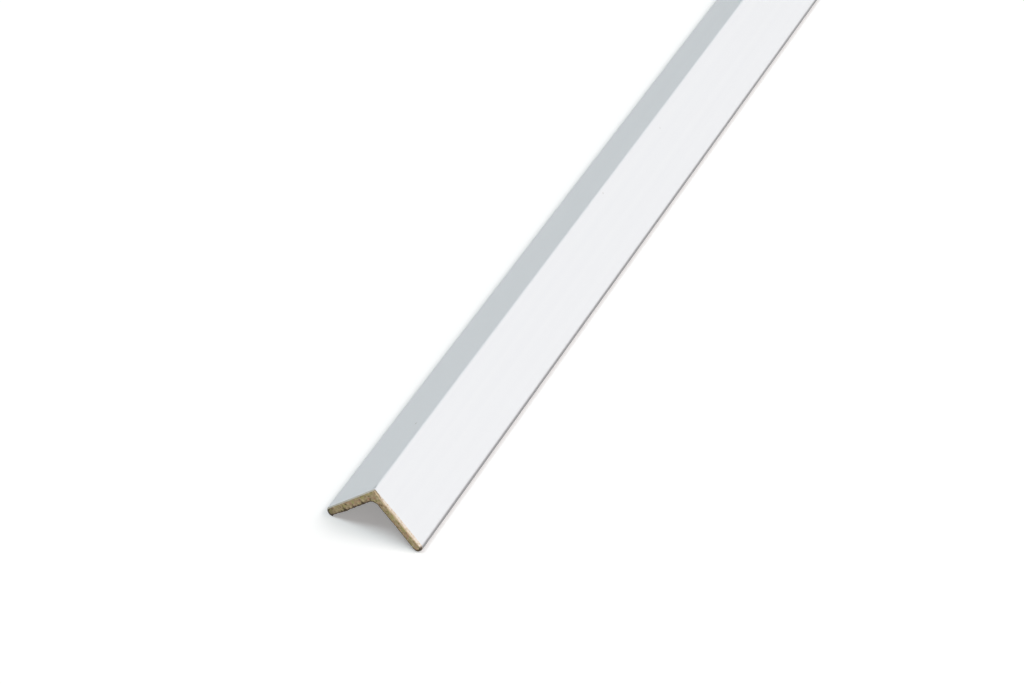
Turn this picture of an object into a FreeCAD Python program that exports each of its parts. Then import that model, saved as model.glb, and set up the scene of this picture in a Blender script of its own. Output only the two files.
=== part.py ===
import FreeCAD, Part
import math
import os
import Sketcher

# A corner guard moulding: one long L of fibreboard whose outer faces are wrapped in white foil.
# It lies as a ridge, with its outside corner up and the two leg tips on the floor.
# The length runs along Y, and the origin is on the floor, below the middle of the ridge.

# Driving sizes in millimetres. The leg width is measured over the foil, from the ridge to a tip.
SIZES = {
    "moulding_length": 2438.4,
    "leg_width": 28.6,
    "core_thickness": 3.3,
    "foil_thickness": 0.5,
    "inner_fillet": 2.6,
    "ridge_easing": 0.3,
}
# Both legs slope down at this angle, so that the ridge is up and the tips are level.
LEG_SLOPE = 45.0

doc = FreeCAD.newDocument("corner_guard")
sheet = doc.addObject("Spreadsheet::Sheet", "Sizes")
for row, (name, size) in enumerate(SIZES.items(), start=1):
    sheet.set(f"A{row}", name)
    sheet.set(f"B{row}", str(size))
    sheet.setAlias(f"B{row}", name)
doc.recompute()

# What follows from the driving sizes, as expressions for the sketches
GLUE_FACE = "Sizes.foil_thickness + Sizes.core_thickness"
CORE_NOSE = "Sizes.core_thickness / 2"
FOIL_NOSE = "Sizes.core_thickness / 2 + Sizes.foil_thickness"
NOSE_PLACE = f"Sizes.leg_width - ({FOIL_NOSE})"
FOIL_RIDGE = "Sizes.ridge_easing + Sizes.foil_thickness"
RIDGE_HEIGHT = f"Sizes.leg_width * sin({LEG_SLOPE} deg) + {FOIL_NOSE}"

# The same sizes as numbers, to draw each outline close to its solved shape
foil = sheet.foil_thickness
glue_face = foil + sheet.core_thickness
core_nose = sheet.core_thickness / 2
foil_nose = core_nose + foil
nose_place = sheet.leg_width - foil_nose
core_ridge = sheet.ridge_easing
ridge = core_ridge + foil
fillet = sheet.inner_fillet

# A sketch counts an edge's points in this order, and its own origin and axes from minus one down
START, END, CENTRE = range(1, 4)
ORIGIN = (-1, START)
UP_AXIS, ACROSS_AXIS = range(-2, 0)


def line(x_from, y_from, x_to, y_to):
    """A straight edge, with the ends that an outline enters and leaves it by."""
    edge = Part.LineSegment(FreeCAD.Vector(x_from, y_from, 0), FreeCAD.Vector(x_to, y_to, 0))
    return edge, START, END


def arc(x, y, radius, from_angle, to_angle):
    """A round edge about (x, y). An outline that turns clockwise enters an arc by its end."""
    circle = Part.Circle(FreeCAD.Vector(x, y, 0), FreeCAD.Vector(0, 0, 1), radius)
    low, high = sorted((from_angle, to_angle))
    edge = Part.ArcOfCircle(circle, math.radians(low), math.radians(high))
    if from_angle < to_angle:
        return edge, START, END
    return edge, END, START


def section_sketch(body, name, outline, sharp=()):
    """Draw a closed outline across the length. Its edges run on smoothly, except at the sharp ones."""
    sketch = body.newObject("Sketcher::SketchObject", name)
    cross_plane = next(plane for plane in body.Origin.OriginFeatures if plane.Role == "XZ_Plane")
    sketch.AttachmentSupport = [(cross_plane, "")]
    sketch.MapMode = "FlatFace"
    edges = list(outline.values())
    sketch.addGeometry([edge for edge, entry, way_out in edges], False)
    for number, (edge, entry, way_out) in enumerate(edges):
        following = (number + 1) % len(edges)
        kind = "Coincident" if list(outline)[number] in sharp else "Tangent"
        sketch.addConstraint(Sketcher.Constraint(kind, number, way_out, following, edges[following][1]))
    return sketch, {edge_name: number for number, edge_name in enumerate(outline)}


def set_size(sketch, name, constraint, expression):
    """Add a sized constraint and tie it to the sheet."""
    sketch.renameConstraint(sketch.addConstraint(constraint), name)
    sketch.setExpression(f"Constraints.{name}", expression)


def radius_size(sketch, edge, name, value, expression):
    set_size(sketch, name, Sketcher.Constraint("Radius", edge, value), expression)


def across_size(sketch, edge, point, name, value, expression):
    """Size across the section, measured from the left leg's outer face."""
    set_size(sketch, name, Sketcher.Constraint("DistanceX", *ORIGIN, edge, point, value), expression)


def depth_size(sketch, edge, point, name, value, expression):
    """Size down the section, measured from the right leg's outer face."""
    set_size(sketch, name, Sketcher.Constraint("DistanceY", edge, point, *ORIGIN, value), expression)


def extrude(body, sketch):
    """Run a section along the whole length, half of it each way from the middle."""
    pad = body.newObject("PartDesign::Pad", f"{body.Label}_length")
    pad.Profile = sketch
    pad.SideType = "Symmetric"
    pad.setExpression("Length", "Sizes.moulding_length")
    body.Placement = FreeCAD.Placement(
        FreeCAD.Vector(0, 0, 0), FreeCAD.Rotation(FreeCAD.Vector(0, 1, 0), LEG_SLOPE)
    )
    body.setExpression("Placement.Base.z", RIDGE_HEIGHT)


# Fibreboard core: an L with round-nosed tips, a filleted inside corner for the wall's own corner,
# and a ridge that is eased just enough for the foil to fold over it.
core = doc.addObject("PartDesign::Body", "fibreboard_core")
core.Label = "fibreboard_core"
core_outline = {
    "left_outer": line(foil, -ridge, foil, -nose_place),
    "left_nose": arc(foil_nose, -nose_place, core_nose, 180, 360),
    "left_inner": line(glue_face, -nose_place, glue_face, -glue_face - fillet),
    "inside_corner": arc(glue_face + fillet, -glue_face - fillet, fillet, 180, 90),
    "right_inner": line(glue_face + fillet, -glue_face, nose_place, -glue_face),
    "right_nose": arc(nose_place, -foil_nose, core_nose, -90, 90),
    "right_outer": line(nose_place, -foil, ridge, -foil),
    "ridge": arc(ridge, -ridge, core_ridge, 90, 180),
}
core_sketch, edge = section_sketch(core, "core_section", core_outline)
for name in ("left_outer", "left_inner"):
    core_sketch.addConstraint(Sketcher.Constraint("Vertical", edge[name]))
for name in ("right_outer", "right_inner"):
    core_sketch.addConstraint(Sketcher.Constraint("Horizontal", edge[name]))
across_size(core_sketch, edge["left_outer"], START, "left_foil", foil, "Sizes.foil_thickness")
depth_size(core_sketch, edge["right_outer"], START, "right_foil", foil, "Sizes.foil_thickness")
depth_size(core_sketch, edge["left_nose"], CENTRE, "left_reach", nose_place, NOSE_PLACE)
across_size(core_sketch, edge["right_nose"], CENTRE, "right_reach", nose_place, NOSE_PLACE)
radius_size(core_sketch, edge["left_nose"], "left_nose", core_nose, CORE_NOSE)
radius_size(core_sketch, edge["right_nose"], "right_nose", core_nose, CORE_NOSE)
radius_size(core_sketch, edge["inside_corner"], "inside_corner", fillet, "Sizes.inner_fillet")
radius_size(core_sketch, edge["ridge"], "ridge", core_ridge, "Sizes.ridge_easing")
extrude(core, core_sketch)

# Foil: one sheet folded over the ridge and rolled round both tips. It stops where its outer skin
# is level with the glue face, so that the bare inner faces still lie flat on a wall.
roll = 180 - math.degrees(math.acos(core_nose / foil_nose))
wrap = doc.addObject("PartDesign::Body", "foil_wrap")
wrap.Label = "foil_wrap"
wrap_outline = {
    "left_outer": line(0, -ridge, 0, -nose_place),
    "left_roll": arc(foil_nose, -nose_place, foil_nose, 180, 180 + roll),
    "left_edge": line(
        foil_nose - foil_nose * math.cos(math.radians(roll)),
        -nose_place - foil_nose * math.sin(math.radians(roll)),
        foil_nose - core_nose * math.cos(math.radians(roll)),
        -nose_place - core_nose * math.sin(math.radians(roll)),
    ),
    "left_nose": arc(foil_nose, -nose_place, core_nose, 180 + roll, 180),
    "left_inner": line(foil, -nose_place, foil, -ridge),
    "inner_ridge": arc(ridge, -ridge, core_ridge, 180, 90),
    "right_inner": line(ridge, -foil, nose_place, -foil),
    "right_nose": arc(nose_place, -foil_nose, core_nose, 90, 90 - roll),
    "right_edge": line(
        nose_place + core_nose * math.sin(math.radians(roll)),
        -foil_nose + core_nose * math.cos(math.radians(roll)),
        nose_place + foil_nose * math.sin(math.radians(roll)),
        -foil_nose + foil_nose * math.cos(math.radians(roll)),
    ),
    "right_roll": arc(nose_place, -foil_nose, foil_nose, 90 - roll, 90),
    "right_outer": line(nose_place, 0, ridge, 0),
    "ridge": arc(ridge, -ridge, ridge, 90, 180),
}
corners = ("left_roll", "left_edge", "right_nose", "right_edge")
wrap_sketch, edge = section_sketch(wrap, "foil_section", wrap_outline, corners)
for name in ("left_outer", "left_inner"):
    wrap_sketch.addConstraint(Sketcher.Constraint("Vertical", edge[name]))
for name in ("right_outer", "right_inner"):
    wrap_sketch.addConstraint(Sketcher.Constraint("Horizontal", edge[name]))
for name, axis in (("left_outer", UP_AXIS), ("right_outer", ACROSS_AXIS)):
    wrap_sketch.addConstraint(Sketcher.Constraint("PointOnObject", edge[name], START, axis))
across_size(wrap_sketch, edge["left_inner"], START, "left_foil", foil, "Sizes.foil_thickness")
depth_size(wrap_sketch, edge["right_inner"], START, "right_foil", foil, "Sizes.foil_thickness")
for name, value, expression in (("nose", core_nose, CORE_NOSE), ("roll", foil_nose, FOIL_NOSE)):
    left, right = f"left_{name}", f"right_{name}"
    radius_size(wrap_sketch, edge[left], left, value, expression)
    radius_size(wrap_sketch, edge[right], right, value, expression)
    depth_size(wrap_sketch, edge[left], CENTRE, f"{left}_reach", nose_place, NOSE_PLACE)
    across_size(wrap_sketch, edge[right], CENTRE, f"{right}_reach", nose_place, NOSE_PLACE)
radius_size(wrap_sketch, edge["ridge"], "ridge", ridge, FOIL_RIDGE)
radius_size(wrap_sketch, edge["inner_ridge"], "inner_ridge", core_ridge, "Sizes.ridge_easing")
across_size(wrap_sketch, edge["left_roll"], END, "left_stop", glue_face, GLUE_FACE)
depth_size(wrap_sketch, edge["right_roll"], START, "right_stop", glue_face, GLUE_FACE)
for side in ("left", "right"):
    cut_square = Sketcher.Constraint("PointOnObject", edge[f"{side}_roll"], CENTRE, edge[f"{side}_edge"])
    wrap_sketch.addConstraint(cut_square)
extrude(wrap, wrap_sketch)

doc.recompute()

for item in doc.Objects:
    if "Invalid" in item.State or "Error" in item.State:
        raise RuntimeError(f"{item.Label} did not build: {item.State}")
for piece in (core, wrap):
    if piece.Shape.isNull() or not piece.Shape.isValid():
        raise RuntimeError(f"{piece.Label} has no valid solid")

os.makedirs("parts", exist_ok=True)
for piece in (core, wrap):
    piece.Shape.exportStep(f"parts/{piece.Label}.step")
    box = piece.Shape.BoundBox
    print(
        f"{piece.Label}: {piece.Shape.Volume / 1000:.1f} cm3,"
        f" X {box.XMin:.2f} to {box.XMax:.2f}, Y {box.YMin:.1f} to {box.YMax:.1f},"
        f" Z {box.ZMin:.3f} to {box.ZMax:.3f} mm"
    )
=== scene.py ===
# %% [markdown]
# A corner guard moulding is a long L of fibreboard, wrapped in white foil, that is glued over the
# outside corner of a wall. Here one length of it lies ridge up on a pale floor, and its near end
# shows the saw cut. The solid model already has the true section, so this lesson loads it as a
# fixed frame and dresses it: the two pieces are rebuilt as meshes that also carry the cut, the
# chips and the crack, and each gets its own finish.

# %% Load the frame
import math
import random

import bmesh
import bpy
from mathutils import Matrix, Vector, noise


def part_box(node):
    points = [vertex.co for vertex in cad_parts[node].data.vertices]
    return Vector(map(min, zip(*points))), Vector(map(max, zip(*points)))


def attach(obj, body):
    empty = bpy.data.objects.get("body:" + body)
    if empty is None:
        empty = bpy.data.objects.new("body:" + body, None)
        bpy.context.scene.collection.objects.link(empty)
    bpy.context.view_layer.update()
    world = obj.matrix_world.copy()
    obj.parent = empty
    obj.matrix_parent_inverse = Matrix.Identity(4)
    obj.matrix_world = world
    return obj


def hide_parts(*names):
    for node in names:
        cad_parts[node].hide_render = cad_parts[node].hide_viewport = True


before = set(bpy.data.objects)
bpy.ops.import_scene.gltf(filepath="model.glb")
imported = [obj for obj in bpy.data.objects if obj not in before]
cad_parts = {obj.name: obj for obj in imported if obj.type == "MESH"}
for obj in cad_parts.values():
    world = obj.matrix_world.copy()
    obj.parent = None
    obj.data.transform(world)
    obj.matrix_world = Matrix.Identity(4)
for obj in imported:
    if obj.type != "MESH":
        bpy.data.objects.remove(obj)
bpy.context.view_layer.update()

print("frame nodes:", sorted(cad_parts))

# %% [markdown]
# The section is the same all along the moulding, so a few sizes describe it. It is easiest to
# think in a leg's own terms: how far along the leg a point lies, from the sharp ridge line
# towards the tip, and how deep it lies below the outer face. One function turns that into the
# height and the place across, and the two legs differ only in the sign of the side. Three short
# helpers follow: a point on an arc, a place between two values, and a value held in its limits.

# %% The section in millimetres
MM = 0.001
LEG_WIDTH = 28.6
BOARD = 3.3
FOIL = 0.5
INSIDE_FILLET = 2.6
RIDGE_EASING = 0.3

WALL = BOARD + FOIL
BOARD_NOSE = BOARD / 2
FOIL_NOSE = BOARD_NOSE + FOIL
FOIL_RIDGE = RIDGE_EASING + FOIL
NOSE = (LEG_WIDTH - FOIL_NOSE, FOIL_NOSE)
RIDGE = (FOIL_RIDGE, FOIL_RIDGE)
FILLET = (WALL + INSIDE_FILLET, WALL + INSIDE_FILLET)
SLOPE = math.sqrt(0.5)
RIDGE_LINE = LEG_WIDTH * SLOPE + FOIL_NOSE
LEFT, RIGHT = -1, 1

foil_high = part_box("foil_wrap")[1]
HALF_LENGTH = foil_high.y / MM


def leg_point(side, along, depth):
    """Where a leg's point is across the moulding and above the floor."""
    return side * (along - depth) * SLOPE, RIDGE_LINE - (along + depth) * SLOPE


def turn(centre, radius, degrees):
    """A point on an arc: 0 degrees faces out of the leg, 90 towards its tip and -45 to the ridge."""
    angle = math.radians(degrees)
    return centre[0] + radius * math.sin(angle), centre[1] - radius * math.cos(angle)


def between(first, last, share):
    """A share of the way from one value to another."""
    return first + (last - first) * share


def clamp(value, low=0, high=1):
    """The value, held between two limits."""
    return min(max(value, low), high)


tip_reach = leg_point(RIGHT, *NOSE)[0] + FOIL_NOSE
print(f"half width {tip_reach:.3f} mm, in the frame {foil_high.x / MM:.3f} mm")
print(f"length {2 * HALF_LENGTH:.1f} mm")

# %% [markdown]
# The view looks down on the sawn end from the front and the right with a long lens, and the
# camera is held a few degrees out of level. The easiest way to place such a camera is to start
# from one point of the object, the middle of the near end, and say where in the picture it has
# to be: the camera backs away from it along the line of sight and then slides sideways. The saw
# ran a little out of square here, so that the left leg is the shorter, and the middle of the cut
# lies half of that in from the very end.

# %% Camera
PICTURE = (1024, 684)
NEAR_END_PIXEL = (373.83, 529.69)
AZIMUTH, ELEVATION, ROLL = (math.radians(angle) for angle in (23.66, 41.62, 3.19))
LENS, SENSOR = 100.0, 36.0
CAMERA_DISTANCE = 1.001
CUT_SKEW = 1.8

camera_data = bpy.data.cameras.new("long_lens")
camera_data.lens = LENS
camera_data.sensor_width = SENSOR
camera = bpy.data.objects.new("camera", camera_data)
bpy.context.scene.collection.objects.link(camera)
bpy.context.scene.camera = camera

backward = Vector((
    math.sin(AZIMUTH) * math.cos(ELEVATION),
    -math.cos(AZIMUTH) * math.cos(ELEVATION),
    math.sin(ELEVATION),
))
level = Vector((math.cos(AZIMUTH), math.sin(AZIMUTH), 0))
rightward = Matrix.Rotation(ROLL, 3, backward) @ level
upward = backward.cross(rightward)
pixel = CAMERA_DISTANCE * SENSOR / LENS / PICTURE[0]
slide_right = (PICTURE[0] / 2 - NEAR_END_PIXEL[0]) * pixel
slide_up = (NEAR_END_PIXEL[1] - PICTURE[1] / 2) * pixel
near_end = Vector((0, CUT_SKEW / 2 - HALF_LENGTH, FOIL_NOSE)) * MM
place = near_end + backward * CAMERA_DISTANCE + rightward * slide_right + upward * slide_up
facing = Matrix((rightward, upward, backward)).transposed().to_4x4()
camera.matrix_world = Matrix.Translation(place) @ facing
print(f"one picture point is {pixel / MM:.2f} mm at the near end")

# %% [markdown]
# Colours are given as sRGB hex values, but shaders work with linear light, so one
# function translates. Another adds a shader node with its options, values and links in a single
# call, and hands back the output that the next node needs. The others say in a line what the
# finishes have in common: noise of some size, a ramp that picks out a part of it, a value that
# the mesh carries, colours laid over each other, and a surface with a fine bump.

# %% Shader helpers


def hex_colour(text):
    """An sRGB hex value as linear red, green, blue and full alpha."""
    parts = [int(text[place:place + 2], 16) / 255 for place in (1, 3, 5)]
    return (*(part / 12.92 if part <= 0.04045 else ((part + 0.055) / 1.055) ** 2.4 for part in parts), 1)


def add_node(tree, kind, inputs, output=None, **options):
    """Add a shader node. An input is a plain value or the output of an earlier node."""
    node = tree.nodes.new(f"ShaderNode{kind}")
    for option, value in options.items():
        setattr(node, option, value)
    sockets = {socket.identifier: socket for socket in node.inputs}
    for name, value in inputs.items():
        if isinstance(value, bpy.types.NodeSocket):
            tree.links.new(value, sockets[name])
        else:
            sockets[name].default_value = value
    return next((socket for socket in node.outputs if socket.identifier == output), node)


def new_material(name):
    """An empty material and its node tree."""
    material = bpy.data.materials.new(name)
    material.use_nodes = True
    material.node_tree.nodes.clear()
    return material, material.node_tree


def per_metre(millimetres):
    """How often a pattern of this size repeats in a metre, which is what a texture's scale counts."""
    return 1 / (millimetres * MM)


def cloud(tree, place, size, detail):
    """Noise in blobs of about this size in millimetres. More detail makes them more ragged."""
    return add_node(tree, "TexNoise", {
        "Vector": place, "Scale": per_metre(size), "Detail": detail,
    }, "Fac")


def ramp(tree, value, span, result=(0, 1)):
    """Stretch a span of a value over another span, and hold it level past both ends."""
    return add_node(tree, "MapRange", {
        "Value": value,
        "From Min": span[0],
        "From Max": span[1],
        "To Min": result[0],
        "To Max": result[1],
    }, "Result")


def carried(tree, name):
    """A value that the mesh carries at its points."""
    return add_node(tree, "Attribute", {}, "Fac", attribute_name=name)


def lay_over(tree, base, layers):
    """Lay colours over a base colour, one after another, each by its own share."""
    colour = hex_colour(base)
    for share, over in layers:
        colour = add_node(tree, "Mix", {
            "Factor_Float": share, "A_Color": colour, "B_Color": hex_colour(over),
        }, "Result_Color", data_type="RGBA")
    return colour


def surface(tree, colour, roughness, ior, height, bump):
    """Finish a material. The bump is how strongly the height shows and how deep it is."""
    strength, depth = bump
    normal = add_node(tree, "Bump", {
        "Height": height, "Strength": strength, "Distance": depth * MM,
    }, "Normal")
    shader = add_node(tree, "BsdfPrincipled", {
        "Base Color": colour, "Roughness": roughness, "IOR": ior, "Normal": normal,
    }, "BSDF")
    add_node(tree, "OutputMaterial", {"Surface": shader})


# %% [markdown]
# The floor is matt white paper on a lit table, so that even the shadows glow a little. A long
# moulding wants light that is the same all along it, so it comes from distant lamps with wide
# discs, which stand in for soft panels. A panel and a bright wall on the right make the right
# face the brighter. A cooler panel in front on the left tones the left face, draws the line of
# shade along the right edge, and reaches in under the sawn end.

# %% Floor and light
STUDIO = (0.04, 0.04, 0.04, 1)
WARM, COOL = (1.0, 0.96, 0.955), (0.83, 0.95, 1.0)
PANELS = {
    "right_panel": {"from": (0.60, 0.22, 0.77), "spread": 29, "strength": 1.26, "tint": WARM},
    "left_panel": {"from": (-0.26, -0.15, 0.95), "spread": 27, "strength": 1.37, "tint": COOL},
    "right_wall": {"from": (0.92, 0.03, 0.39), "spread": 150, "strength": 1.20, "tint": WARM},
}
FLOOR_SIZE = 40.0
FLOOR_WHITE, FLOOR_ROUGHNESS = "#ECEAE8", 0.95
GLOW_WHITE, FLOOR_GLOW = "#FFFFFF", 0.28

world = bpy.data.worlds.new("pale_studio")
world.use_nodes = True
bpy.context.scene.world = world
world.node_tree.nodes["Background"].inputs["Color"].default_value = STUDIO

for name, panel in PANELS.items():
    lamp = bpy.data.lights.new(name, "SUN")
    lamp.energy = panel["strength"]
    lamp.angle = math.radians(panel["spread"])
    lamp.color = panel["tint"]
    lamp_object = bpy.data.objects.new(name, lamp)
    lamp_object.rotation_euler = Vector(panel["from"]).to_track_quat("Z", "Y").to_euler()
    bpy.context.scene.collection.objects.link(lamp_object)

paper, tree = new_material("matt white paper")
paper_shader = add_node(tree, "BsdfPrincipled", {
    "Base Color": hex_colour(FLOOR_WHITE),
    "Roughness": FLOOR_ROUGHNESS,
    "Specular IOR Level": 0.0,
    "Emission Color": hex_colour(GLOW_WHITE),
    "Emission Strength": FLOOR_GLOW,
}, "BSDF")
add_node(tree, "OutputMaterial", {"Surface": paper_shader})

floor_mesh = bpy.data.meshes.new("paper_floor")
half = FLOOR_SIZE / 2
floor_mesh.from_pydata(
    [(-half, -half, 0), (half, -half, 0), (half, half, 0), (-half, half, 0)], [], [(0, 1, 2, 3)]
)
floor_mesh.materials.append(paper)
paper_floor = bpy.data.objects.new("paper_floor", floor_mesh)
bpy.context.scene.collection.objects.link(paper_floor)

bpy.context.scene.view_settings.view_transform = "Standard"
print("soft panels:", ", ".join(PANELS))

# %% [markdown]
# The white face is decor foil: paper soaked in resin, printed plain white, lacquered and rolled
# on to the board hot. It is satin, not glossy, and so even that only faint things show: the
# board's own texture pressing through, long streaks left by the rollers, and a stray speck. Round
# the tips, where the foil turns down to the floor, it is painted grey as shade, and the knock by
# the ridge is a little grey too; the mesh carries both as one value.

# %% White lacquered foil
FOIL_WHITE, FOIL_STREAK = "#EEEFF0", "#EAEBED"
# The second grey here is painted shade round the tips, and a little of it greys the knock by the ridge.
FOIL_SPECK, FOIL_TIP_SHADE = "#C9C8C4", "#89898B"
STREAK_WIDTH, STREAK_LENGTH, STREAK_DETAIL = 2.5, 400, 2.0
GRAIN_SIZE, GRAIN_DETAIL, GRAIN_SPAN, GRAIN_BUMP = 1.4, 3.0, (0.3, 0.7), (0.06, 0.05)
SPECK_SPACING, SPECK_SPAN = 24, (0.03, 0.01)
FOIL_ROUGHNESS, FOIL_IOR = (0.40, 0.50), 1.5


def white_foil():
    """The foil's face: satin white, faintly streaked along its length, with a stray speck and grey
    painted shade round the tips.
    """
    material, tree = new_material("white lacquered foil")
    place = add_node(tree, "TexCoord", {}, "Object")
    stretched = add_node(tree, "Mapping", {
        "Vector": place,
        "Scale": (per_metre(STREAK_WIDTH), per_metre(STREAK_LENGTH), per_metre(STREAK_WIDTH)),
    }, "Vector")
    streak = add_node(tree, "TexNoise", {
        "Vector": stretched, "Scale": 1.0, "Detail": STREAK_DETAIL,
    }, "Fac")
    grain = cloud(tree, place, GRAIN_SIZE, GRAIN_DETAIL)
    from_speck = add_node(tree, "TexVoronoi", {
        "Vector": place, "Scale": per_metre(SPECK_SPACING),
    }, "Distance")
    colour = lay_over(tree, FOIL_WHITE, (
        (streak, FOIL_STREAK),
        (ramp(tree, from_speck, SPECK_SPAN), FOIL_SPECK),
        (carried(tree, "painted_tip_shade_and_knock"), FOIL_TIP_SHADE),
    ))
    roughness = ramp(tree, grain, GRAIN_SPAN, FOIL_ROUGHNESS)
    surface(tree, colour, roughness, FOIL_IOR, grain, GRAIN_BUMP)
    return material


white_lacquered_foil = white_foil()
print("made", white_lacquered_foil.name)

# %% [markdown]
# Where the saw went through, the foil shows its thickness. The cut edge has no lacquer, only the
# cream resin paper inside, so it is dull and warmer than the face. On the left leg the blade
# dragged grey dust across it. Round the tips and down in the split the edge is darkened as
# painted shade. The mesh carries the dust and the shade as two values, and a little noise keeps
# the line from looking printed.

# %% Cream foil edge
EDGE_PALE, EDGE_DEEP = "#F6E7D8", "#D9BE9C"
# The dark brown is painted shade on the cut edge round the tips and in the split.
EDGE_DUST, EDGE_SHADE = "#C6C3B8", "#403528"
EDGE_FLECK, EDGE_DETAIL, DEEP_SPAN, EDGE_BUMP = 0.8, 2.0, (0.45, 0.75), (0.3, 0.1)
EDGE_ROUGHNESS = 0.7


def cut_foil_edge():
    """The foil's sawn edge: dull cream paper, with dust and with painted shade where the mesh says so."""
    material, tree = new_material("cream resin paper edge")
    place = add_node(tree, "TexCoord", {}, "Object")
    fleck = cloud(tree, place, EDGE_FLECK, EDGE_DETAIL)
    colour = lay_over(tree, EDGE_PALE, (
        (ramp(tree, fleck, DEEP_SPAN), EDGE_DEEP),
        (carried(tree, "dusty"), EDGE_DUST),
        (carried(tree, "painted_edge_shade"), EDGE_SHADE),
    ))
    surface(tree, colour, EDGE_ROUGHNESS, FOIL_IOR, fleck, EDGE_BUMP)
    return material


cream_foil_edge = cut_foil_edge()
print("made", cream_foil_edge.name)

# %% [markdown]
# Fibreboard is wood pulped to fibre, pressed hot and sawn. The cut is matt brown, in patches that
# lean to red or to olive, and flecked with dark resin and pale bundles of fibre. Real flecks are
# a fraction of a millimetre, which is about one picture point here, so they are drawn a little
# coarser. Towards its inner face the board is pressed denser and darker, and the same dark is
# laid on as painted shade in the inside corner, round the tips and on the crumbled edge; towards
# the left tip it is darker too. Where fibre was torn out it is pale. Those follow the shape, so
# the mesh carries them as two values: the dark band in one and the torn fibre in the other.

# %% Sawn fibreboard
BOARD_DARK, BOARD_MID, BOARD_PALE = "#716244", "#AD9B77", "#C9B892"
BOARD_RED, BOARD_OLIVE = "#B48A70", "#A9A168"
# The darkest brown stands for the pressed inner face and for painted shade in the corner, at the tips and
# on the crumbled edge.
BOARD_SKIN_AND_SHADE, TORN_FIBRE = "#493A28", "#E9D0AA"
HUE_SIZE, HUE_DETAIL, RED_SPAN, OLIVE_SPAN = 1.9, 2.0, (0.53, 0.70), (0.50, 0.33)
FLECK_SIZE, FLECK_DETAIL, DARK_SPAN, PALE_SPAN = 1.1, 4.0, (0.44, 0.32), (0.55, 0.68)
FIBRE_SIZE, FIBRE_DETAIL, FIBRE_BUMP = 0.35, 3.0, (0.5, 0.15)
BOARD_ROUGHNESS, BOARD_IOR = 0.9, 1.45


def sawn_fibreboard():
    """The board's cut: matt brown in several hues, dark where it is pressed and pale where torn."""
    material, tree = new_material("sawn fibreboard")
    place = add_node(tree, "TexCoord", {}, "Object")
    hue = cloud(tree, place, HUE_SIZE, HUE_DETAIL)
    fleck = cloud(tree, place, FLECK_SIZE, FLECK_DETAIL)
    fibre = cloud(tree, place, FIBRE_SIZE, FIBRE_DETAIL)
    colour = lay_over(tree, BOARD_MID, (
        (ramp(tree, hue, RED_SPAN), BOARD_RED),
        (ramp(tree, hue, OLIVE_SPAN), BOARD_OLIVE),
        (ramp(tree, fleck, DARK_SPAN), BOARD_DARK),
        (ramp(tree, fleck, PALE_SPAN), BOARD_PALE),
        (carried(tree, "skin_and_painted_shade"), BOARD_SKIN_AND_SHADE),
        (carried(tree, "torn"), TORN_FIBRE),
    ))
    surface(tree, colour, BOARD_ROUGHNESS, BOARD_IOR, fibre, FIBRE_BUMP)
    return material


fibreboard = sawn_fibreboard()
print("made", fibreboard.name)

# %% [markdown]
# Both pieces are made the same way: as grids of points that meet at their seams. One grid runs
# the whole length round the section, and one closes each end. A grid's points are in
# millimetres, and joining the grids merges the points that fall together, so a grid that
# narrows to a single point, as the board does at its nose, needs no special case.

# %% Joining grids into a piece
SEAM = 0.0002
CREASE = math.radians(35)


def add_grid(shape, rows, finish, closed):
    """Fill a grid of points with four-sided faces. A closed one joins its last column to its first."""
    corners = [[shape.verts.new(Vector(point) * MM) for point in row] for row in rows]
    columns = len(rows[0])
    for lower, upper in zip(corners, corners[1:]):
        for column in range(columns if closed else columns - 1):
            following = (column + 1) % columns
            face = shape.faces.new((lower[column], lower[following], upper[following], upper[column]))
            face.material_index = finish


def join_grids(name, grids, materials, values):
    """Make one closed mesh of several grids. Each value is worked out from a point's place."""
    shape = bmesh.new()
    for rows, finish, closed in grids:
        add_grid(shape, rows, finish, closed)
    bmesh.ops.remove_doubles(shape, verts=shape.verts, dist=SEAM * MM)
    bmesh.ops.recalc_face_normals(shape, faces=shape.faces)
    for face in shape.faces:
        face.smooth = True
    open_edges = sum(not edge.is_manifold for edge in shape.edges)
    for value, measure in values.items():
        layer = shape.verts.layers.float.new(value)
        for point in shape.verts:
            point[layer] = measure(*(point.co / MM))
    mesh = bpy.data.meshes.new(name)
    shape.to_mesh(mesh)
    shape.free()
    mesh.set_sharp_from_angle(angle=CREASE)
    for material in materials:
        mesh.materials.append(material)
    piece = bpy.data.objects.new(name, mesh)
    bpy.context.scene.collection.objects.link(piece)
    mesh.calc_loop_triangles()
    print(f"{name}: {len(mesh.loop_triangles)} triangles, {open_edges} open edges")
    return piece


# %% [markdown]
# Along the length nothing changes except near the two cuts, so the rings of points crowd
# together in the first few millimetres and then open out. A ring is named by which end it is
# nearer to and how far in from that end it lies. At the near end the saw ran out of square, and
# the cut bows out a little on the left, so there a ring's place also depends on how far across
# the moulding a point is.

# %% Rings along the length
NEAR, FAR = -1, 1
FRAYED = 5.0
FRAYED_RINGS = 15
PLAIN_RINGS = (8, 25, 80, 200, 400, 600, 800, 1000)
CUT_BOW, BOW_MIDDLE, BOW_REACH = 0.4, -6.0, 15.0

from_end = [FRAYED * ring / FRAYED_RINGS for ring in range(FRAYED_RINGS + 1)] + list(PLAIN_RINGS)
RINGS = [(NEAR, inset) for inset in from_end] + [(NEAR, HALF_LENGTH)]
RINGS += [(FAR, inset) for inset in reversed(from_end)]


def out_of_square(end, x):
    """How far back the near end's saw cut has run, at a place across the moulding."""
    if end == FAR:
        return 0.0
    bow = CUT_BOW * max(1 - ((x - BOW_MIDDLE) / BOW_REACH) ** 2, 0)
    return CUT_SKEW * (tip_reach - x) / (2 * tip_reach) - bow


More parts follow.
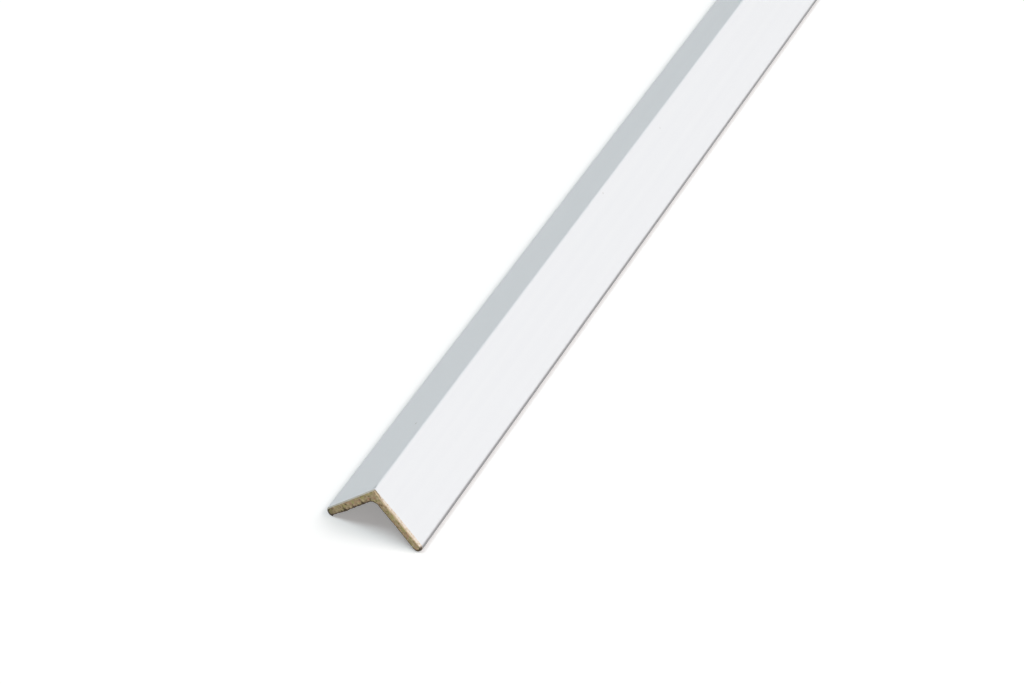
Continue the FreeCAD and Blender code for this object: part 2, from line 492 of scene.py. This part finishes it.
def ring_place(end, inset, cut):
    """How far along the moulding a ring's point lies, where the saw left its end 'cut' deep."""
    share = min(inset / FRAYED, 1)
    return end * (HALF_LENGTH - inset - cut * (1 - share))


print(len(RINGS), "rings along the length")

# %% [markdown]
# The board's section is walked from one tip over the ridge to the other in small steps. Each
# step is a pair of points, one under the foil and one on the bare inner face, and the saw cut
# is the grid between them. At the near end the blade left the left leg's inner edge crumbled,
# with small bites out of it, and worn away towards the tip. On the right leg a crack runs in
# under the foil.

# %% The board's steps, bites and crack
CORNER_STEPS, LEG_STEPS, NOSE_STEPS = 28, 140, 14
BITTEN, BITE_SPACING = (8.0, 24.0), (1.4, 4.0)
BITE_HALF_WIDTH = (0.5, 1.0)
BITE_DEPTH = (0.0, 0.16)
BITE_REACH = (0.8, 2.2)
WORN_FROM, WORN_DEPTH, WORN_REACH, WORN_MOST = 20.0, 0.5, 2.5, 0.4
CRACK_FROM, CRACK_TO = 3.2, 6.0
CRACK_WIDTH, CRACK_REACH, CRACK_BLUNT = 0.35, 2.4, 0.6
BITE_SEED = 11
draw = random.Random(BITE_SEED)


def board_leg():
    """Pairs of outer and inner leg points, from the ridge to the tip."""
    steps = []
    for step in range(CORNER_STEPS):
        share = step / CORNER_STEPS
        along = share * FILLET[0]
        if along < FOIL_RIDGE:
            outer = turn(RIDGE, RIDGE_EASING, -45 * (1 - along / FOIL_RIDGE))
        else:
            outer = (along, FOIL)
        steps.append((outer, turn(FILLET, INSIDE_FILLET, -45 * (1 - share))))
    for step in range(LEG_STEPS):
        along = FILLET[0] + (NOSE[0] - FILLET[0]) * step / LEG_STEPS
        steps.append(((along, FOIL), (along, WALL)))
    for step in range(NOSE_STEPS + 1):
        degrees = 90 * step / NOSE_STEPS
        steps.append((turn(NOSE, BOARD_NOSE, degrees), turn(NOSE, BOARD_NOSE, 180 - degrees)))
    return steps


def both_legs(leg):
    """A leg's pairs of points as steps from the left tip, over the ridge, to the right tip."""
    return [(LEFT, *pair) for pair in reversed(leg[1:])] + [(RIGHT, *pair) for pair in leg]


def inner_bites(first, last):
    """Small bites out of an inner edge: their places along the leg, half widths, depths and reach."""
    bites = []
    along = first
    while along < last:
        sizes = [draw.uniform(*limits) for limits in (BITE_HALF_WIDTH, BITE_DEPTH, BITE_REACH)]
        bites.append((along, *sizes))
        along += draw.uniform(*BITE_SPACING)
    return bites


BOARD_STEPS = both_legs(board_leg())
BITES = {(NEAR, LEFT): inner_bites(*BITTEN)}


def tip_wear(end, side, along, inset):
    """How far the near end's left leg is worn away on its inner side, towards its tip."""
    if (end, side) != (NEAR, LEFT) or along < WORN_FROM:
        return 0.0
    share = min((along - WORN_FROM) / (NOSE[0] - WORN_FROM), 1)
    return WORN_DEPTH * share * math.sqrt(max(1 - (inset / WORN_REACH) ** 2, 0))


def bite_depth(end, side, along, inset):
    """How deep the inner edge is bitten or worn away, at a place along a leg and in from its end."""
    deepest = tip_wear(end, side, along, inset)
    for middle, half_width, depth, reach in BITES.get((end, side), ()):
        left_over = 1 - ((along - middle) / half_width) ** 2 - (inset / reach) ** 2
        deepest = max(deepest, depth * math.sqrt(max(left_over, 0)))
    return deepest


def crack_depth(end, side, along, inset):
    """How far the board has come away from the foil."""
    if (end, side) != (NEAR, RIGHT) or not CRACK_FROM < along < CRACK_TO:
        return 0.0
    share = (along - CRACK_FROM) / (CRACK_TO - CRACK_FROM)
    closing = math.sqrt(max(1 - (inset / CRACK_REACH) ** 2, 0))
    return CRACK_WIDTH * math.sin(math.pi * share) ** CRACK_BLUNT * closing


def worn_step(end, inset, step):
    """A step's outer and inner points across the moulding, with the wear near its end."""
    side, outer, inner = step
    thickness = math.dist(outer, inner)
    bite = bite_depth(end, side, inner[0], inset)
    crack = crack_depth(end, side, outer[0], inset)
    points = []
    for point, other, moved in ((outer, inner, crack), (inner, outer, bite)):
        share = min(moved / thickness, WORN_MOST) if thickness else 0
        points.append(leg_point(side, *(between(a, b, share) for a, b in zip(point, other))))
    return points


print(len(BOARD_STEPS), "steps round the board,", len(BITES[NEAR, LEFT]), "bites")

# %% [markdown]
# A saw blade leaves faint arcs, a nap of fibre and small pits where bundles were pulled out. At
# this size they are worth real geometry, because they catch the light and break the edge. The
# relief only ever goes inwards, so the piece keeps its length. The noise behind it comes from
# sheets of one block, and each use has a sheet of its own.

# %% Saw cut relief
BLADE_CENTRE = (70.0, -95.0)
SCORE_PITCH, SCORE_DEPTH = 1.3, 0.05
NAP_SIZE, NAP_DEPTH, NAP_SHEET = 0.5, 0.10, 3.0
PIT_SIZE, PIT_LEVEL, PIT_DEPTH, PIT_SHEET = 1.1, 0.22, 0.6, 9.0
CRUMBLE_FROM, CRUMBLE_TO, CRUMBLE_FADE = 6.5, 26.0, 2.5
CRUMBLE_RISE, CRUMBLE_SIZE, CRUMBLE_DEPTH = 1.1, 1.7, 0.08
CRUMBLE_LEAST, CRUMBLE_SWING, CRUMBLE_STEEP, CRUMBLE_SHEET = 0.15, 1.4, 1.6, 2.0
CUT_ROWS = 24

CUT_SHARES = [row / CUT_ROWS for row in range(CUT_ROWS + 1)]


def wobble(across, up, sheet):
    """Smooth noise between about -1 and 1."""
    return noise.noise(Vector((across, up, sheet)))


def raised(swing):
    """A swing between -1 and 1, moved up to lie between 0 and 1."""
    return 0.5 + 0.5 * swing


def leg_place(x, z):
    """The leg, the place along it and the depth below the outer face, from a point of the section."""
    reach, drop = abs(x) / SLOPE, (RIDGE_LINE - z) / SLOPE
    return (LEFT if x < 0 else RIGHT), (drop + reach) / 2, (drop - reach) / 2


def crumbled(end, x, z):
    """1 on the crumbled inner edge of the near end's left leg, fading to 0 above it."""
    side, along, depth = leg_place(x, z)
    if (end, side) != (NEAR, LEFT) or not CRUMBLE_FROM < along < CRUMBLE_TO:
        return 0.0
    strength = min((along - CRUMBLE_FROM) / CRUMBLE_FADE, (CRUMBLE_TO - along) / CRUMBLE_FADE, 1)
    swing = CRUMBLE_SWING * wobble(along / CRUMBLE_SIZE, 0, CRUMBLE_SHEET)
    rise = CRUMBLE_RISE * max(1 + swing, CRUMBLE_LEAST)
    return strength * clamp((depth - WALL + rise) / rise * CRUMBLE_STEEP)


def cut_relief(end, x, z):
    """How deep the saw cut lies below the very end, in millimetres."""
    score = raised(math.sin(2 * math.pi * math.dist((x, z), BLADE_CENTRE) / SCORE_PITCH))
    nap = raised(wobble(x / NAP_SIZE, z / NAP_SIZE, NAP_SHEET * end))
    pit = max(wobble(x / PIT_SIZE, z / PIT_SIZE, PIT_SHEET * end) - PIT_LEVEL, 0)
    relief = SCORE_DEPTH * score + NAP_DEPTH * nap + PIT_DEPTH * pit + CRUMBLE_DEPTH * crumbled(end, x, z)
    return relief + out_of_square(end, x)


def cut_point(end, x, z):
    """A point of the sawn end, set in by the saw's relief."""
    return x, end * (HALF_LENGTH - cut_relief(end, x, z)), z


def board_cut(end):
    """The sawn end: a grid of the board's steps by rows across its thickness."""
    grid = []
    for step in BOARD_STEPS:
        outer, inner = worn_step(end, 0, step)
        across = ([between(i, o, share) for i, o in zip(inner, outer)] for share in CUT_SHARES)
        grid.append([cut_point(end, *point) for point in across])
    return grid


def board_ring(end, inset):
    """The board's outline at one ring: over the outer face, then back along the inner face."""
    worn = [worn_step(end, inset, step) for step in BOARD_STEPS]
    cut = [worn_step(end, 0, step) for step in BOARD_STEPS]
    loop = []
    for face, order in ((0, range(len(worn))), (1, reversed(range(len(worn))))):
        for step in order:
            x, z = worn[step][face]
            loop.append((x, ring_place(end, inset, cut_relief(end, *cut[step][face])), z))
    return loop


deepest = max(HALF_LENGTH + y for row in board_cut(NEAR) for _, y, _ in row)
print(f"the near cut lies up to {deepest:.2f} mm in from the end")

# %% [markdown]
# Now the board itself. Its two values are worked out from where a point is. It is dark near the
# pressed inner face, and darker still as painted shade in the inside corner, at the tips and on
# the crumbled edge.
# Its fibre is torn and pale beside each bite and just under the foil of the right leg.

# %% Fibreboard piece
# Widths of the dark band: the pressed inner face, with wider painted shade in the inside corner and round
# the tips.
SKIN_AND_SHADE_WIDTH = {LEFT: 0.3, RIGHT: 0.12}
CORNER_SHADE, CORNER_FADE = 0.4, 0.03
TIP_SKIN_AND_SHADE, SKIN_AND_SHADE_FADE = 0.35, 0.3
# The left leg's cut grows darker towards its tip.
TIP_DARKENING_FROM, TIP_DARKENING = 23.5, 0.6
RIM_RISE, RIM_WIDTH, RIM_PALE = 0.85, 0.8, 0.6
LIFTED, LIFTED_GROWS, LIFTED_ENDS = (0.7, 1.3), 5.0, 6.0
LIFTED_SIZE, LIFTED_FADE, LIFTED_SWING, LIFTED_SHEET = 1.5, 0.25, 0.2, 4.0


def pressed_skin_and_shade(x, y, z):
    """1 on the pressed inner face, and as painted shade in the inside corner, round the tips and on the
    crumbled edge, fading to 0 inside the board.
    """
    side, along, depth = leg_place(x, z)
    thickness = max(SKIN_AND_SHADE_WIDTH[side], CORNER_SHADE - CORNER_FADE * along)
    worn_face = WALL - tip_wear(NEAR, side, along, y + HALF_LENGTH)
    if along < FILLET[0]:
        below_face = math.dist((along, depth), FILLET) - INSIDE_FILLET
    elif along < NOSE[0]:
        below_face = worn_face - depth
    else:
        below_face = min(BOARD_NOSE - math.dist((along, depth), NOSE), worn_face - depth)
        thickness = TIP_SKIN_AND_SHADE
    # This dark band is partly the pressed inner face and partly painted shade in the corner and at the
    # tips.
    pressed = clamp(1 - (below_face - thickness) / SKIN_AND_SHADE_FADE)
    towards_tip = TIP_DARKENING * max((along - TIP_DARKENING_FROM) / (LEG_WIDTH - TIP_DARKENING_FROM), 0) if side == LEFT else 0.0
    # The crumbled edge of the near end is darkened as painted shade.
    near_end_share = crumbled(NEAR, x, z) if y + HALF_LENGTH < FRAYED else 0.0
    return max(pressed, towards_tip, near_end_share)


def torn_fibre(x, y, z):
    """1 on the rim of a bite and in the band lifted with the foil, 0 away from them."""
    side, along, depth = leg_place(x, z)
    end = NEAR if y < 0 else FAR
    if HALF_LENGTH - abs(y) > FRAYED:
        return 0.0
    if (end, side) == (NEAR, RIGHT):
        grown = min(along / LIFTED_GROWS, (LEG_WIDTH - along) / LIFTED_ENDS, 1)
        band = between(*LIFTED, grown) + LIFTED_SWING * wobble(along / LIFTED_SIZE, 0, LIFTED_SHEET)
        return clamp((band - depth) / LIFTED_FADE)
    pale = 0.0
    for middle, half_width, bite, _ in BITES.get((end, side), ()):
        beside, above = along - middle - half_width, WALL - depth - bite - RIM_RISE
        rim = math.hypot(beside, above) / (half_width * RIM_WIDTH)
        pale = max(pale, RIM_PALE * (1 - rim) * bite / BITE_DEPTH[1])
    return pale


board_grids = [([board_ring(*ring) for ring in RINGS], 0, True)]
board_grids += [(board_cut(end), 0, False) for end in (NEAR, FAR)]
board = join_grids("pressed_board", board_grids, [fibreboard], {"skin_and_painted_shade": pressed_skin_and_shade, "torn": torn_fibre})
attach(board, "root")
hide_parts("fibreboard_core")

# %% [markdown]
# The foil is one thin sheet, so it is walked the same way: over the ridge, down each face and
# round each tip, with a point on its face and one on its glued side. The saw tears its edge back
# a little: more on the right leg, where the blade came out, than on the left.

# %% The foil's steps and torn edge
RIDGE_STEPS, FACE_STEPS, ROLL_STEPS = 8, 130, 20
FOIL_ROWS = 12
FOIL_ROLL = 180 - math.degrees(math.acos(BOARD_NOSE / FOIL_NOSE))
TORN_BACK = {LEFT: (0.2, 0.2), RIGHT: (0.4, 0.8)}
TATTER_SIZE, TATTER, TATTER_SHEET = 0.9, 0.16, 5.0
SPLIT_FROM, SPLIT_TO = 0.0, 4.5
SPLIT_BELOW, SPLIT_WIDTH, SPLIT_DEPTH = (0.28, 0.52), 0.22, 0.9
SPLIT_OPENS, SPLIT_CLOSES, SPLIT_STEEP = 5, 2, 2
BRUISE_ALONG, BRUISE_INSET = 0.7, 2.2
BRUISE_SIZE, BRUISE_DEPTH, BRUISE_GREY = 1.5, 0.42, 0.45

FOIL_SHARES = [row / FOIL_ROWS for row in range(FOIL_ROWS + 1)]


def foil_leg():
    """Pairs of face and glued points, from the ridge to where the foil stops under the tip."""
    steps = []
    for step in range(RIDGE_STEPS):
        degrees = -45 * (1 - step / RIDGE_STEPS)
        steps.append((turn(RIDGE, FOIL_RIDGE, degrees), turn(RIDGE, RIDGE_EASING, degrees)))
    for step in range(FACE_STEPS):
        along = FOIL_RIDGE + (NOSE[0] - FOIL_RIDGE) * step / FACE_STEPS
        steps.append(((along, 0), (along, FOIL)))
    for step in range(ROLL_STEPS + 1):
        degrees = FOIL_ROLL * step / ROLL_STEPS
        steps.append((turn(NOSE, FOIL_NOSE, degrees), turn(NOSE, BOARD_NOSE, degrees)))
    return steps


FOIL_STEPS = both_legs(foil_leg())


def split(end, x, z, width):
    """1 in the middle of the split that slants down through the right leg's foil, 0 beside it."""
    side, along, depth = leg_place(x, z)
    if (end, side) != (NEAR, RIGHT) or not SPLIT_FROM < along < SPLIT_TO:
        return 0.0
    share = (along - SPLIT_FROM) / (SPLIT_TO - SPLIT_FROM)
    middle = between(*SPLIT_BELOW, share)
    closing = min(SPLIT_OPENS * share, SPLIT_CLOSES * (1 - share), 1)
    return closing * clamp(SPLIT_STEEP * (1 - (abs(depth - middle) / width) ** 2))


def torn_back(end, side, x, z, face):
    """How far the saw left the foil short of the end, on its face (1) or its glued side (0)."""
    tatter = TATTER * raised(wobble(x / TATTER_SIZE, z / TATTER_SIZE, TATTER_SHEET * end))
    parted = (1 - face ** 2) * SPLIT_DEPTH * split(end, x, z, SPLIT_WIDTH)
    back = between(*TORN_BACK[side], abs(x) / tip_reach)
    return out_of_square(end, x) + tatter + face * back + parted


def bruise(end, side, along, inset):
    """1 in the middle of the knock beside the ridge, on the left leg near its cut, 0 round it."""
    if (end, side) != (NEAR, LEFT):
        return 0.0
    return max(1 - math.hypot(along - BRUISE_ALONG, inset - BRUISE_INSET) / BRUISE_SIZE, 0)


def foil_point(end, inset, step, face):
    """A point of the foil at one ring, between its glued side (0) and its face (1)."""
    side, outer, glued = step
    along, depth = (between(g, o, face) for g, o in zip(glued, outer))
    depth += face * BRUISE_DEPTH * bruise(end, side, along, inset)
    x, z = leg_point(side, along, depth)
    return x, ring_place(end, inset, torn_back(end, side, x, z, face)), z


def foil_cut(end):
    """The cut edge: a narrow grid across the foil's thickness."""
    return [[foil_point(end, 0, step, share) for share in FOIL_SHARES] for step in FOIL_STEPS]


def foil_side(face):
    """The foil's face (1) or glued side (0), from end to end."""
    return [[foil_point(*ring, step, face) for step in FOIL_STEPS] for ring in RINGS]


def foil_stop(step):
    """The narrow edge under a tip where the foil stops."""
    return [[foil_point(*ring, step, share) for share in FOIL_SHARES] for ring in RINGS]


print(len(FOIL_STEPS), "steps round the foil, rolled", f"{FOIL_ROLL:.0f}", "degrees round each tip")

# %% [markdown]
# The foil closes up from four kinds of grid: the white face, the glued side, the narrow edges
# where it stops under the tips, and the two cut edges. Only the face is lacquered, so the piece
# has two finishes. Where its cut edge is dusty, where the tips and the split get painted shade,
# and where the knock is grey, is worked out from where a point lies, as it was on the board.

# %% Foil piece
FACE_FINISH, EDGE_FINISH = range(2)
DUST = (0.8, 1.0)
# Painted shade on the cut edge round each tip: the degrees where it starts and where it is full.
EDGE_SHADE_ANGLES = {LEFT: (55, 95), RIGHT: (0, 25)}
EDGE_SHADE_RIM, RIM_SHADE_SHARE, SPLIT_SHADE_WIDTH = 0.2, 0.65, 0.3
# Painted grey shade round the tips, between these degrees.
TIP_SHADE_FROM, TIP_SHADE_TO = 4, 28


def tip_angle(along, depth):
    """How many degrees round its tip a point of the foil lies, 0 on the flat faces."""
    return math.degrees(math.atan2(along - NOSE[0], NOSE[1] - depth)) if along > NOSE[0] else 0.0


def fibre_dust(x, y, z):
    """How much grey dust was dragged over the cut edge: on the left leg, more towards its tip."""
    side, along, _ = leg_place(x, z)
    return between(*DUST, along / LEG_WIDTH) if side == LEFT else 0.0


def edge_shading(x, y, z):
    """Painted shade on the cut edge: 1 round the tips and down in the split, 0 along the legs."""
    side, along, depth = leg_place(x, z)
    first, last = EDGE_SHADE_ANGLES[side]
    turned = clamp((tip_angle(along, depth) - first) / (last - first))
    inside = (FOIL_NOSE - math.dist((along, depth), NOSE)) / EDGE_SHADE_RIM if side == RIGHT else 1
    edge_shaded = turned * clamp(inside, RIM_SHADE_SHARE)
    return max(edge_shaded, split(NEAR, x, z, SPLIT_SHADE_WIDTH) if y < 0 else 0)


def tip_shade_and_knock(x, y, z):
    """Painted shade: 1 where the foil bends down round a tip, 0 on the flat faces; a little grey on the
    bruise.
    """
    side, along, depth = leg_place(x, z)
    round_tip = clamp((tip_angle(along, depth) - TIP_SHADE_FROM) / (TIP_SHADE_TO - TIP_SHADE_FROM))
    knocked = bruise(NEAR if y < 0 else FAR, side, along, HALF_LENGTH - abs(y))
    return max(round_tip, BRUISE_GREY * knocked)


foil_grids = [(foil_side(1), FACE_FINISH, False), (foil_side(0), EDGE_FINISH, False)]
foil_grids += [(foil_stop(FOIL_STEPS[step]), EDGE_FINISH, False) for step in (0, -1)]
foil_grids += [(foil_cut(end), EDGE_FINISH, False) for end in (NEAR, FAR)]
foil_values = {"dusty": fibre_dust, "painted_edge_shade": edge_shading, "painted_tip_shade_and_knock": tip_shade_and_knock}
foil = join_grids("decor_foil", foil_grids, [white_lacquered_foil, cream_foil_edge], foil_values)
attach(foil, "root")
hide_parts("foil_wrap")
